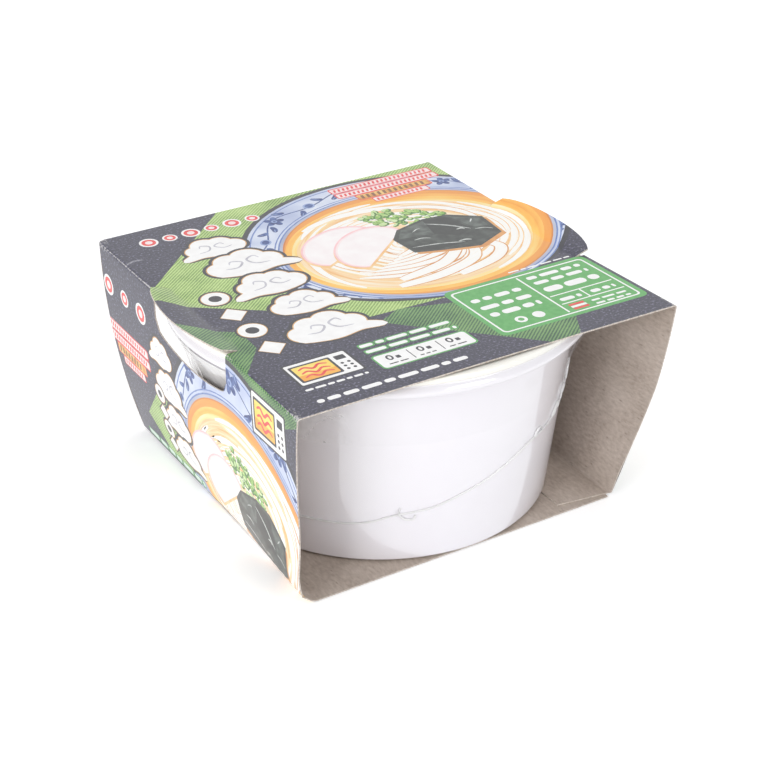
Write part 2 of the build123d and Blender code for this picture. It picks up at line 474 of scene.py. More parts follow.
def toppings(panel, cx, cy, size=1.0):
    """Slices of fish cake, chopped green onion and folded dark seaweed lying on the noodles."""
    def at(points):
        return [(cx + x * size, cy + y * size) for x, y in points]

    for dx, dy, turn in ((-9.5, 4.5, 0.5), (-0.5, -1.5, 0.68)):
        half = [(x, max(y, -5.0)) for x, y in ellipse(0, 0, 18, 13, 0, 44)]
        c, s = math.cos(turn), math.sin(turn)

        def laid(scale, lift=0.0):
            return at([(dx + (x * c - y * s) * scale, dy + (x * s + y * c) * scale + lift) for x, y in half])
        put(panel, "noodleShade", laid(1.04, -1.0))
        put(panel, "fishPink", laid(1.0))
        put(panel, "fishPale", laid(0.955, -0.2))
        put(panel, "fishWhite", laid(0.91, -0.35))
    for k in range(printing["onions"]):
        t, r = rng.uniform(0, 2 * math.pi), math.sqrt(rng.random())
        x = 22 + 14.5 * r * math.cos(t)
        y = 14.5 + 8.0 * r * math.sin(t) - 0.32 * (x - 22)
        place = at([(x, y)])[0]
        a, b, turn = rng.uniform(0.8, 1.9) * size, rng.uniform(0.6, 1.2) * size, rng.uniform(0, 3.1)
        put(panel, "onionDark", ellipse(place[0] + 0.2, place[1] - 0.4, a + 0.4, b + 0.4, turn, 7))
        put(panel, rng.choice(["onion", "onion", "onionPale"]), ellipse(*place, a, b, turn, 8))
    for line in ([(26, -17), (14, -26), (-6, -30)], [(31, -18), (25, -28), (8, -33.5), (-9, -34)],
                 [(35.5, -18), (38.5, -25), (31, -32), (14, -36.5)]):
        path = at(curve(line, 6))                   # broad strands hanging out in front of the leaf
        put(panel, "noodleGap", stroke(path, 5.4 * size, 0.5))
        put(panel, "noodle", stroke(path, 4.3 * size, 0.6))
        put(panel, "noodleLight", stroke(path[1:-1], 2.3 * size, 0.3))
    leaf = [(8.5, -1), (14, 5.5), (27, 9), (37, 8), (47.5, 0), (46, -15), (33, -21), (20, -17.5), (9.5, -14)]
    put(panel, "noodleGap", at([(x + 0.8, y - 1.9) for x, y in leaf]))
    put(panel, "seaweed", at(leaf))
    put(panel, "seaweedLight", at([(10.5, -1.5), (15, 4.5), (26.5, 7.5), (24, -4)]))
    put(panel, "seaweedDark", at([(24, -4), (26.5, 7.5), (35.5, 6.5), (38.5, -7), (31, -10)]))
    put(panel, "seaweedLight", at([(39.5, -6), (36.8, 6), (45.8, -0.5), (45, -8)]))
    put(panel, "seaweedDark", at([(11, -9), (23, -12), (32, -16), (20, -16), (11, -13)]))
    for a, b, w in (((11, -10), (30, -15.5), 0.6), ((25.5, 5), (38, -7), 0.7), ((39, -8), (45, -11), 0.5),
                    ((15, -5), (21, -6.5), 0.6), ((33, -5), (36, -6), 0.9), ((28, -14), (33, -15), 0.8),
                    ((41, -2), (43, 0), 0.6), ((18, 1), (22, 2.5), 0.5)):
        middle = ((a[0] + b[0]) / 2 + 0.5, (a[1] + b[1]) / 2 + 0.7)
        put(panel, "seaweedShine", stroke(curve(at([a, middle, b]), 4), w * size, 0.2))


def cloud(panel, cx, cy, size, flip=1):
    """A traditional curled cloud: round lobes on a long tail, with a thin warm edge and a dark halo."""
    lobes = [(-7.5, -1.2, 4.4), (-3.0, 2.4, 5.0), (3.6, 3.0, 5.6), (9.0, -0.6, 4.2), (1, -2.5, 4.6)]
    tail = curve([(-11 * flip, -4.4), (0, -5.6), (9 * flip, -4.4), (17.5 * flip, -7.2)], 5)
    for grow, ink in ((1.9, "halo"), (0.7, "warmEdge"), (0.3, "white")):
        for x, y, r in lobes:
            put(panel, ink, ellipse(cx + flip * x * size, cy + y * size, r * size + grow, r * size + grow, 0, 26))
        line = [(cx + x * size, cy + y * size) for x, y in tail]
        put(panel, ink, stroke(line, 5.2 * size + 2 * grow, 0.1))
    swirl_ = curve([(-6.4, -1.6), (-2.4, -2.2), (0.4, 0.8), (-2.6, 2.6), (-4.0, 0.8)], 5)
    put(panel, "haloSoft", stroke([(cx + flip * x * size, cy + y * size) for x, y in swirl_], 0.8 * size, 0.25))
    swirl_ = curve([(8.6, -2.8), (4.0, -2.0), (2.4, 1.6), (5.4, 3.4), (6.6, 1.4)], 5)
    put(panel, "haloSoft", stroke([(cx + flip * x * size, cy + y * size) for x, y in swirl_], 0.8 * size, 0.25))


def ringMark(panel, cx, cy, r, hole=0.5):
    """A plain white ring, or a diamond where hole is 0."""
    count = 24 if hole else 4
    for grow, ink in ((1.2, "halo"), (0.45, "warmEdge"), (0.15, "white")):
        put(panel, ink, ellipse(cx, cy, r + grow, r + grow, 0, count))
    if hole:
        put(panel, "halo", ellipse(cx, cy, r * hole, r * hole, 0, 18))


def barRow(panel, ink, x0, x1, y, tall, step=1.0, edge=None):
    """A row of rounded bars of uneven length, where small print would stand."""
    x = x0
    low, high = y + 0.17 * tall, y + 0.83 * tall
    while x < x1 - 1.0:
        wide = min(rng.uniform(2.4, 7.5) * step, x1 - x)
        if edge:
            put(panel, edge, roundRect(x - 0.45, low - 0.45, x + wide + 0.45, high + 0.45, 0.6))
        put(panel, ink, roundRect(x, low, x + wide, high, min(0.45 * (high - low), wide / 2.1)))
        x += wide + 1.1 * max(step, 0.6)


def beadRow(panel, x0, x1, y0, y1):
    """A row of red beads edged in white, in place of a mark."""
    r = (y1 - y0) / 2
    count = int((x1 - x0) / (2.2 * r))
    for k in range(count):
        x = x0 + r + (x1 - x0 - 2 * r) * k / (count - 1)
        size = r * (1.0 if k % 2 == 0 else 0.8)
        put(panel, "white", ellipse(x, (y0 + y1) / 2, size, size, 0, 22))
        put(panel, "red", ellipse(x, (y0 + y1) / 2, size * 0.76, size * 0.76, 0, 20))
        put(panel, "whitePink", ellipse(x, (y0 + y1) / 2, size * 0.4, size * 0.4, 0, 14))


def hatched(panel, ink, x0, y0, x1, y1, pitch, lean):
    """Slanted strokes filling a bar."""
    x = x0
    while x < x1 - pitch:
        put(panel, ink, [(x, y0), (x + 0.5 * pitch, y0), (x + 0.5 * pitch + lean, y1), (x + lean, y1)])
        x += pitch


def banner(panel, x0, y0, wide, tall):
    """Red and white hatched bars over an orange one and a short white one."""
    for v0, v1 in ((0.0, 0.5), (0.52, 1.02)):
        put(panel, "red", roundRect(x0, y0 + v0 * tall, x0 + wide, y0 + v1 * tall, 1.0))
        put(panel, "whitePink", roundRect(x0 + 0.6, y0 + v0 * tall + 0.6, x0 + wide - 0.6, y0 + v1 * tall - 0.6, 0.7))
        hatched(panel, "red", x0 + 1.4, y0 + v0 * tall + 1.2, x0 + wide - 1.6, y0 + v1 * tall - 1.2, 1.9, 0.7)
    a, b = x0 + 0.14 * wide, x0 + 0.86 * wide
    put(panel, "red", roundRect(a, y0 - 0.53 * tall, b, y0 + 0.02 * tall, 0.8))
    put(panel, "amberBar", roundRect(a + 0.5, y0 - 0.48 * tall, b - 0.5, y0 - 0.04 * tall, 0.6))
    hatched(panel, "brownInk", a + 1.6, y0 - 0.42 * tall, b - 1.8, y0 - 0.1 * tall, 2.4, 0.5)
    a, b = x0 + 0.24 * wide, x0 + 0.78 * wide
    put(panel, "red", roundRect(a, y0 - 0.96 * tall, b, y0 - 0.52 * tall, 0.8))
    put(panel, "whitePink", roundRect(a + 0.5, y0 - 0.91 * tall, b - 0.5, y0 - 0.57 * tall, 0.6))
    hatched(panel, "red", a + 1.4, y0 - 0.85 * tall, b - 1.6, y0 - 0.63 * tall, 1.9, 0.4)


def ovenMark(panel, x0, y0, wide, tall):
    """A plain picture of a microwave oven: heat waves in a lit window, a display and six keys."""
    def at(u, v):
        return x0 + u * wide, y0 + v * tall

    def box(ink, u0, v0, u1, v1, r):
        put(panel, ink, roundRect(*at(u0, v0), *at(u1, v1), r))
    box("dark", -0.04, -0.05, 1.04, 1.05, 0.9)
    box("white", 0, 0, 1, 1, 0.6)
    box("dark", 0.04, 0.1, 0.72, 0.9, 0.6)
    box("amber", 0.08, 0.16, 0.68, 0.84, 0.4)
    box("windowYellow", 0.08, 0.42, 0.68, 0.84, 0.4)
    for k in range(3):
        v = 0.29 + 0.19 * k
        wave = curve([at(0.15, v), at(0.26, v + 0.07), at(0.38, v - 0.05), at(0.5, v + 0.07), at(0.62, v)], 5)
        put(panel, "red", stroke(wave, tall * 0.075, 0.4))
    box("dark", 0.78, 0.66, 0.95, 0.86, 0.3)
    for row in range(3):
        for column in range(2):
            put(panel, "dark", ellipse(*at(0.81 + 0.11 * column, 0.18 + 0.15 * row), tall * 0.045, tall * 0.045, 0, 10))


def greenLabel(panel, x0, y0, x1, y1):
    put(panel, "labelGreen", roundRect(x0, y0, x1, y1, 2.6))
    put(panel, "white", roundRect(x0 + 1.8, y0 + 1.8, x1 - 1.8, y1 - 1.8, 1.8))
    put(panel, "labelGreen", roundRect(x0 + 2.5, y0 + 2.5, x1 - 2.5, y1 - 2.5, 1.4))
    split = x0 + (x1 - x0) * 0.48
    put(panel, "white", roundRect(split, y0 + 3.2, split + 0.7, y1 - 3.2, 0.3))
    high = y1 - y0
    for v, tall in ((0.66, 0.105), (0.5, 0.105), (0.34, 0.12)):
        barRow(panel, "white", x0 + 5, split - 3, y0 + v * high, tall * high, 1.25)
    put(panel, "white", ellipse(x0 + 12, y0 + 0.2 * high, 2.2, 2.2, 0, 20))
    put(panel, "labelGreen", ellipse(x0 + 12, y0 + 0.2 * high, 1.1, 1.1, 0, 14))
    put(panel, "white", ellipse(x0 + 19, y0 + 0.2 * high, 2.2, 2.2, 0, 20))
    for v, tall in ((0.8, 0.09), (0.68, 0.09), (0.49, 0.15)):
        barRow(panel, "white", split + 3, x1 - 5, y0 + v * high, tall * high, 1.2)
    for v in (0.42, 0.24):
        put(panel, "white", roundRect(split + 1.6, y0 + v * high, x1 - 3.4, y0 + v * high + 0.6, 0.2))
    put(panel, "white", roundRect(split + 13, y0 + 0.25 * high, split + 13.6, y0 + 0.42 * high, 0.2))
    barRow(panel, "white", split + 3, split + 11.5, y0 + 0.28 * high, 0.09 * high, 1.0)
    barRow(panel, "white", split + 15.5, x1 - 5, y0 + 0.28 * high, 0.09 * high, 1.0)
    for k in range(3):
        put(panel, "red" if k % 2 == 0 else "white",
            roundRect(split + 3, y0 + (0.1 + 0.04 * k) * high, split + 9, y0 + (0.135 + 0.04 * k) * high, 0.2))
    barRow(panel, "white", split + 11.5, x1 - 5, y0 + 0.15 * high, 0.045 * high, 0.8)
    barRow(panel, "white", split + 11.5, x1 - 5, y0 + 0.08 * high, 0.045 * high, 0.8)


def drawTop():
    put("top", "lightWeave", [(-24, 90), (-24, 73), (-70, 28), (-90, 20), (-90, 14), (-74, 15), (-38, -12),
                              (-20, -28), (40, -30), (90, -2), (90, 90)])
    put("top", "darkWeave", [(-90, 8), (-75, -5), (-60, -15.5), (-60.5, -28), (-72, -43), (-90, -50)])
    put("top", "darkWeave", [(-18, -33), (-8, -28), (12, -34), (40, -61), (24, -90), (21, -73)])
    noodleBowl("top", 27, 18, (0, 3.5, 60, 50), (1, -3, 50, 41.5), (-2, -4, 43.5, 34.5))
    toppings("top", 11, 20, 1.0)
    cloud("top", -37, 47, 0.88, -1)
    cloud("top", -35.5, 30, 1.12, 1)
    cloud("top", -33.5, 11.5, 0.98, -1)
    cloud("top", -33, -7, 0.9, 1)
    cloud("top", -35, -26.5, 1.1, 1)
    for y, r, hole in ((10, 4.6, 0.5), (-3.5, 4.6, 0), (-16.5, 4.6, 0.5), (-30, 4.6, 0)):
        ringMark("top", -56, y, r, hole)
    beadRow("top", -59.5, -11, 58.8, 65.8)
    banner("top", 21.5, 60.5, 45, 9.6)
    put("top", "scuff", stroke(curve([(-70.5, 49.5), (-67, 51), (-63.5, 50.4)], 4), 1.1, 0.1))
    barRow("top", "white", 39, 65, -25.2, 1.2, 0.7)
    greenLabel("top", 10.5, -62.8, 69, -26.2)
    for k, y in enumerate((-45.8, -50)):
        barRow("top", "white", -32.5, 1.5, y, 2.7, 1.1, "labelGreen")
    put("top", "labelGreen", roundRect(-33.3, -61.5, 2.2, -51.9, 1.6))
    put("top", "white", roundRect(-32.7, -60.9, 1.6, -52.5, 1.2))
    for x in (-21, -10):
        put("top", "dark", roundRect(x, -59.8, x + 0.35, -53.6, 0.1))
    for x in (-26.8, -15.4, -4.4):
        put("top", "dark", ellipse(x - 1.2, -55.4, 1.25, 1.7, 0, 16))
        put("top", "white", ellipse(x - 1.2, -55.4, 0.55, 1.0, 0, 12))
        put("top", "dark", roundRect(x + 0.8, -57.0, x + 2.4, -55.2, 0.3))
        barRow("top", "dark", x - 3.4, x + 3.6, -59.6, 0.9, 0.5)
    ovenMark("top", -59.8, -57, 21.6, 13.4)
    barRow("top", "white", -60.6, -38.4, -60.9, 1.7, 0.55)
    barRow("top", "white", -60.8, -7, -69.4, 3.1, 1.0)


def drawSide(panel):
    """The same print again on a side panel: x runs along the tube, y up from the lower fold."""
    put(panel, "darkWeave", [(16, 90), (22, 70), (44, 60), (76, 76), (76, 90)])
    put(panel, "lightWeave", [(-52, 16), (-36, 33), (-18, 34), (-18, 5), (-40, 5)])
    put(panel, "lightWeave", [(-27, 90), (-27, 76), (-14, 70), (10, 73), (10, 90)])
    noodleBowl(panel, 28, 21, (0, 2, 50, 52), (2, -1, 43.5, 38), (2, -2, 38, 32))
    toppings(panel, 12, 20, 0.93)
    for x, y, size, flip in ((-25, 54, 0.62, -1), (-24, 41, 0.76, 1), (-21, 27, 0.7, -1), (-21, 14, 0.72, 1)):
        cloud(panel, x, y, size, flip)
    for y, r, hole in ((34, 3.4, 0.45), (26, 3.1, 0), (18.5, 3.4, 0.45), (11.5, 3.1, 0)):
        ringMark(panel, -33.2, y, r, hole)
    beadRow(panel, -70, -35, 60, 68)
    banner(panel, -71.5, 40.6, 34, 8.8)
    barRow(panel, "labelMint", -59, -13, 2.0, 3.6, 1.2, "labelGreen")
    ovenMark(panel, 44, 59, 21, 15)


def drawBottom():
    """Guessed, as it isn't seen: a plain panel with ruled rows and a block of bars."""
    put("bottom", "white", roundRect(-50, -52, 8, 52, 2))
    put("bottom", "paper", roundRect(-49.4, -51.4, 7.4, 51.4, 1.6))
    for k in range(14):
        y = 44 - 7.0 * k
        barRow("bottom", "dark", -46, 4, y, 1.8 if k % 5 else 3.4, 2.4)
    put("bottom", "labelGreen", roundRect(16, -52, 50, 52, 2))
    for k in range(14):
        barRow("bottom", "white", 20, 46, 44 - 7 * k, 2.4, 2.2)


drawTop()
drawSide("left")
drawSide("right")
drawBottom()
print(len(shapes), "printed shapes")


def sheetOutline():
    q = sleeve
    f = foldS
    near = [(0, -q["flapEnd"]), (f[0] - 0.6, -q["nearBottom"] + 1.2), (f[0] + 0.8, -q["nearBottom"]),
            (f[1], -q["nearTop"]), (f[2], -q["nearTop"] - 0.1), (f[3], -q["nearBottom"]),
            (sheetEnd, -q["nearBottom"])]
    far = [(sheetEnd, q["farBottom"]), (f[3], q["farBottom"]), (f[2] + 1.2, q["farTop"] - 2.6),
           (f[2] - 0.4, q["farTop"] - 1.4), (f[2] - 2.4, q["farTop"] - 0.9), (f[1], q["farTop"]),
           (f[0] + 0.8, q["farBottom"]), (f[0] - 0.6, q["farBottom"] - 1.2), (0, q["flapEnd"] + 2)]
    return near + far


def slotAndTongue(side):
    """The opening cut for the rim, and the tongue that stays over it, on the flat sheet."""
    q = sleeve
    sign = -1 if side == "right" else 1
    hinge = topMid + sign * q["hingeX"]
    fold = foldS[1] if side == "right" else foldS[2]
    end, deep, r = fold + sign * q["slotStraight"], fold + sign * q["slotDepth"], q["slotCorner"]
    half = q["slotHalf"]
    cut = [(hinge, -half), (end - sign * r, -half)]
    for k in range(1, 20):
        y = -half + 2 * half * k / 20
        belly = (deep - end) * (1 - (y / half) ** 2)
        corner = max(0.0, r - (half - abs(y)))
        round_ = r - math.sqrt(max(r * r - corner * corner, 0))
        cut.append((end + belly - sign * round_, y))
    cut += [(end - sign * r, half), (hinge, half)]
    half -= q["kerf"]
    shoulder = topMid + sign * q["tongueShoulder"]
    tip = topMid + sign * q["tongueTip"]
    tongue = [(hinge, -half)]
    for k in range(0, 21):
        y = -half + 2 * half * k / 20
        tongue.append((shoulder + (tip - shoulder) * (1 - (y / half) ** 2) ** 0.8, y))
    tongue.append((hinge, half))
    return cut, tongue


def triangulate():
    points, faces = [], []

    def addFace(loop):
        area = sum(a[0] * b[1] - a[1] * b[0] for a, b in zip(loop, loop[1:] + loop[:1]))
        loop = loop if area > 0 else loop[::-1]
        faces.append(list(range(len(points), len(points) + len(loop))))
        points.extend(loop)

    addFace(sheetOutline())
    for side in ("right", "left"):
        cut, tongue = slotAndTongue(side)
        addFace(cut)
        addFace(tongue)
    for panel, ink, loop in shapes:
        addFace(loop)
    edges = []
    lines = sorted({s for a, b in creases for s in np.linspace(a, b, 8)} | set(foldS))
    for s in lines:                                 # rows of edges keep the folds crisp
        edges.append((len(points), len(points) + 1))
        points.extend([(s, -90), (s, 90)])
    for s in np.arange(2.0, sheetEnd, sleeve["gridStep"]):
        if min(abs(s - line) for line in lines) < 1.0:
            continue
        for y in np.arange(-72.0, 73.0, sleeve["gridStep"]):
            points.append((s + 0.3 * math.sin(y), y + 0.3 * math.sin(s)))
    result = delaunay_2d_cdt([Vector(p) for p in points], edges, faces, 0, 1e-4, True)
    return np.array([tuple(v) for v in result[0]]), result[2], result[5]


flatPoints, flatFaces, covers = triangulate()
print(len(flatPoints), "points,", len(flatFaces), "triangles on the flat sheet")


# ---------- inks and board

def uvOf(tree, name):
    return addNode(tree, "ShaderNodeUVMap", {"uv_map": name}).outputs["UV"]


def wearOver(tree, color, amount=0.75):
    """Lets the pale board show through the ink in specks along folds and cut edges."""
    wear = addNode(tree, "ShaderNodeSeparateXYZ", links={"0": uvOf(tree, "wear")})
    grain = addNode(tree, "ShaderNodeTexNoise", {"in:Scale": 900, "in:Detail": 3.0, "in:Roughness": 0.7},
                    {"Vector": uvOf(tree, "sheet")})
    both = addNode(tree, "ShaderNodeMath", {"operation": "MAXIMUM"},
                   {"0": wear.outputs["X"], "1": wear.outputs["Y"]})
    part = addNode(tree, "ShaderNodeMath", {"operation": "MULTIPLY"},
                   {"0": both.outputs[0], "1": grain.outputs["Fac"]})
    mask = addNode(tree, "ShaderNodeMapRange", {"in:From Min": 0.36, "in:From Max": 0.52, "in:To Max": amount},
                   {"Value": part.outputs[0]})
    mix = addNode(tree, "ShaderNodeMix", {"data_type": "RGBA", "in:7": hexColor("#d9d6d6")},
                  {"0": mask.outputs[0], "6": color})
    return mix.outputs[2]


def boardBump(tree, shader, extra=None, strength=0.12):
    """The faint unevenness of coated board under the ink."""
    grain = addNode(tree, "ShaderNodeTexNoise", {"in:Scale": 260, "in:Detail": 4.0, "in:Roughness": 0.65},
                    {"Vector": uvOf(tree, "sheet")})
    bump = addNode(tree, "ShaderNodeBump", {"in:Strength": strength, "in:Distance": 0.0004},
                   {"Height": grain.outputs["Fac"]})
    if extra is not None:
        second = addNode(tree, "ShaderNodeBump", {"in:Strength": 0.5, "in:Distance": 0.0001},
                         {"Height": extra, "Normal": bump.outputs[0]})
        bump = second
    tree.links.new(bump.outputs[0], shader.inputs["Normal"])


inkFinish = dict(roughness=0.42, coat=0.5, coatRoughness=0.26)


def inkMaterial(name, stops, scale=700.0, low=0.35, high=0.65, build=None):
    """Printed ink on coated board: a colour that varies a little, worn at the folds."""
    material, tree, shader = newMaterial(name, stops[0], inkFinish["roughness"])
    shader.inputs["Coat Weight"].default_value = inkFinish["coat"]
    shader.inputs["Coat Roughness"].default_value = inkFinish["coatRoughness"]
    extra = None
    if build is None:
        noise_ = addNode(tree, "ShaderNodeTexNoise", {"in:Scale": scale, "in:Detail": 3.0},
                         {"Vector": uvOf(tree, "sheet")})
        step = (high - low) / max(1, len(stops) - 1)
        color = ramp(tree, noise_.outputs["Fac"], [(low + step * k, stop) for k, stop in enumerate(stops)])
    else:
        color, extra = build(tree, stops)
    tree.links.new(wearOver(tree, color), shader.inputs["Base Color"])
    boardBump(tree, shader, extra)
    return material


def weave(pitch, turn):
    """Diagonal ribs of a coarse printed cloth; pitch in millimetres."""
    def build(tree, stops):
        turned = addNode(tree, "ShaderNodeMapping", {"in:Rotation": (0, 0, math.radians(turn))},
                         {"Vector": uvOf(tree, "sheet")})
        ribs = addNode(tree, "ShaderNodeTexWave", {
            "wave_type": "BANDS", "bands_direction": "X", "wave_profile": "SIN", "in:Scale": 0.314 / (pitch * mm),
            "in:Distortion": 1.2, "in:Detail": 2.0, "in:Detail Scale": 3.0}, {"Vector": turned.outputs[0]})
        beads = addNode(tree, "ShaderNodeTexWave", {
            "wave_type": "BANDS", "bands_direction": "Y", "wave_profile": "SIN", "in:Scale": 0.314 / (0.8 * mm),
            "in:Distortion": 2.0, "in:Detail": 2.0, "in:Detail Scale": 2.0}, {"Vector": turned.outputs[0]})
        blotch = addNode(tree, "ShaderNodeTexNoise", {"in:Scale": 90, "in:Detail": 3.0},
                         {"Vector": uvOf(tree, "sheet")})
        soft = addNode(tree, "ShaderNodeMath", {"operation": "MULTIPLY_ADD", "in:1": 0.45},
                       {"0": beads.outputs["Fac"], "2": blotch.outputs["Fac"]})
        height = addNode(tree, "ShaderNodeMath", {"operation": "MULTIPLY_ADD", "in:1": 0.7},
                         {"0": ribs.outputs["Fac"], "2": soft.outputs[0]})
        scaled = addNode(tree, "ShaderNodeMath", {"operation": "MULTIPLY", "in:1": 0.6}, {"0": height.outputs[0]})
        return ramp(tree, scaled.outputs[0], list(zip((0.34, 0.56, 0.82), stops))), None
    return build


def swirl(frequency, low, high):
    """Streaks that follow the swirl of the noodles, from the art's own round coordinates."""
    def build(tree, stops):
        art = uvOf(tree, "art")
        parts = addNode(tree, "ShaderNodeSeparateXYZ", links={"0": art})
        radius = addNode(tree, "ShaderNodeVectorMath", {"operation": "LENGTH"}, {"0": art})
        turn = addNode(tree, "ShaderNodeVectorMath", {"operation": "NORMALIZE"}, {"0": art})
        round_ = addNode(tree, "ShaderNodeSeparateXYZ", links={"0": turn.outputs[0]})
        far = addNode(tree, "ShaderNodeMath", {"operation": "MULTIPLY", "in:1": frequency},
                      {"0": radius.outputs["Value"]})
        place = addNode(tree, "ShaderNodeCombineXYZ", links={
            "0": far.outputs[0], "1": round_.outputs["X"], "2": round_.outputs["Y"]})
        streaks = addNode(tree, "ShaderNodeTexNoise", {"in:Scale": 1.0, "in:Detail": 4.0, "in:Roughness": 0.6},
                          {"Vector": place.outputs[0]})
        step = (high - low) / max(1, len(stops) - 1)
        return ramp(tree, streaks.outputs["Fac"], [(low + step * k, c) for k, c in enumerate(stops)]), None
    return build


def speckle(tree, stops):
    """Silvery flecks on a dark ground, about half a millimetre across."""
    fine = addNode(tree, "ShaderNodeTexNoise", {"in:Scale": 1150, "in:Detail": 2.5, "in:Roughness": 0.6},
                   {"Vector": uvOf(tree, "sheet")})
    return ramp(tree, fine.outputs["Fac"], list(zip((0.3, 0.5, 0.6, 0.7), stops))), None


inks = dict(
    ground=inkMaterial("charcoalSpeckledInk", ["#242335", "#323144", "#4a4960", "#84829b"], build=speckle),
    lightWeave=inkMaterial("limeRibClothPrint", ["#4f7236", "#97bb64", "#c6df90"], build=weave(1.05, -50)),
    darkWeave=inkMaterial("greenRibClothPrint", ["#183f24", "#33663e", "#7fa866"], build=weave(1.05, -50)),
    bowlShade=inkMaterial("bowlShadowInk", ["#26262e", "#33323c"]),
    porcelain=inkMaterial("porcelainPrint", ["#b4bfdf", "#ccd6ee", "#e2e8f6"], 45),
    porcelainShade=inkMaterial("porcelainShadePrint", ["#a7aec8", "#c0c5d8"], 60),
    blueLine=inkMaterial("thinBlueInk", ["#5d77b8", "#7d93c8"], 400),
    blueInk=inkMaterial("cobaltInk", ["#22356f", "#36508f", "#5c76b0"], 300),
    paleBlueInk=inkMaterial("paleCobaltInk", ["#7f95c9", "#9fb2da"], 300),
    brothGold=inkMaterial("goldenBrothInk", ["#f9a93c", "#ffc65c", "#ffdc86"], build=swirl(7, 0.3, 0.7)),
    brothYellow=inkMaterial("yellowBrothInk", ["#fdc75f", "#ffe192", "#fff0c0"], build=swirl(12, 0.3, 0.7)),
    brothEdge=inkMaterial("brothEdgeInk", ["#cf7a2e", "#e29342"], build=swirl(9, 0.3, 0.7)),
    brothDeep=inkMaterial("deepBrothInk", ["#ec9435", "#f8ac4c"], build=swirl(9, 0.3, 0.7)),
    broth=inkMaterial("amberBrothInk", ["#f39f38", "#fcbb55", "#ffd272"], build=swirl(7, 0.3, 0.7)),
    noodleBed=inkMaterial("noodleBedPrint", ["#f2b56c", "#fddcab", "#fff1d9"], build=swirl(26, 0.34, 0.66)),
    noodle=inkMaterial("creamNoodlePrint", ["#fdecd0", "#fff9ee", "#fffefb"], build=swirl(60, 0.28, 0.46)),
    noodleWarm=inkMaterial("goldenNoodlePrint", ["#f8c878", "#fde3ae", "#fff3d8"], build=swirl(60, 0.3, 0.6)),
    noodleLight=inkMaterial("whiteNoodlePrint", ["#fff6e6", "#fffefb"], build=swirl(50, 0.25, 0.45)),
    noodleShade=inkMaterial("amberShadePrint", ["#f4bd78", "#fcd9a4"], 200),
    noodleGap=inkMaterial("brownGapPrint", ["#d38b48", "#e8ab68"], 200),
    fishPink=inkMaterial("pinkEdgeInk", ["#fbc6cb", "#ffd6d9"], 200),
    fishWhite=inkMaterial("fishCakePrint", ["#fbf3f4", "#fffbfb"], 150),
    fishPale=inkMaterial("palePinkInk", ["#fde6e8", "#fff0f0"], 200),
    seaweed=inkMaterial("seaweedPrint", ["#1c211f", "#2f3632", "#454c48"], 260),
    seaweedLight=inkMaterial("seaweedLightPrint", ["#343a37", "#4c5450", "#626a65"], 260),
    seaweedDark=inkMaterial("seaweedDarkPrint", ["#141817", "#232926"], 260),
    seaweedShine=inkMaterial("seaweedShinePrint", ["#a3aaa6", "#dfe3e0"], 400),
    onion=inkMaterial("chivePrint", ["#7db344", "#a0c86a", "#c4e296"], 500),
    onionPale=inkMaterial("paleChivePrint", ["#bfdc92", "#dceebc"], 500),
    onionDark=inkMaterial("darkChivePrint", ["#3f7230", "#5a8a3e"], 500),
    white=inkMaterial("whiteInk", ["#f8f7f7", "#fefefe"], 300),
    whitePink=inkMaterial("blushWhiteInk", ["#fbdedd", "#fdf1f1"], 300),
    warmEdge=inkMaterial("warmOutlineInk", ["#d39a5c", "#e8bb80"], 300),
    halo=inkMaterial("blackHaloInk", ["#24232b", "#33323c"], 900),
    haloSoft=inkMaterial("softGreyInk", ["#b4b3bd", "#d2d1da"], 300),
    scuff=inkMaterial("rubbedInk", ["#5f5e6c", "#a5a4ae"], 1500),
    red=inkMaterial("redInk", ["#e2353a", "#ef5f5c"], 300),
    brownInk=inkMaterial("brownInk", ["#7b4a2a", "#94623a"], 300),
    amberBar=inkMaterial("orangeBarInk", ["#d08a44", "#ecb45e", "#f3cb7e"], 240),
    amber=inkMaterial("orangeWindowInk", ["#f7a83f", "#fbbd52"], 120),
    windowYellow=inkMaterial("yellowWindowInk", ["#fdd75e", "#ffe67e"], 120),
    labelGreen=inkMaterial("labelGreenInk", ["#57a858", "#66b364"], 500),
    labelMint=inkMaterial("mintInk", ["#d6efe2", "#ecf8f1"], 300),
    dark=inkMaterial("blackInk", ["#25242b", "#34333b"], 600),
    paper=inkMaterial("palePanelInk", ["#e9e8e4", "#f4f3ef"], 200))


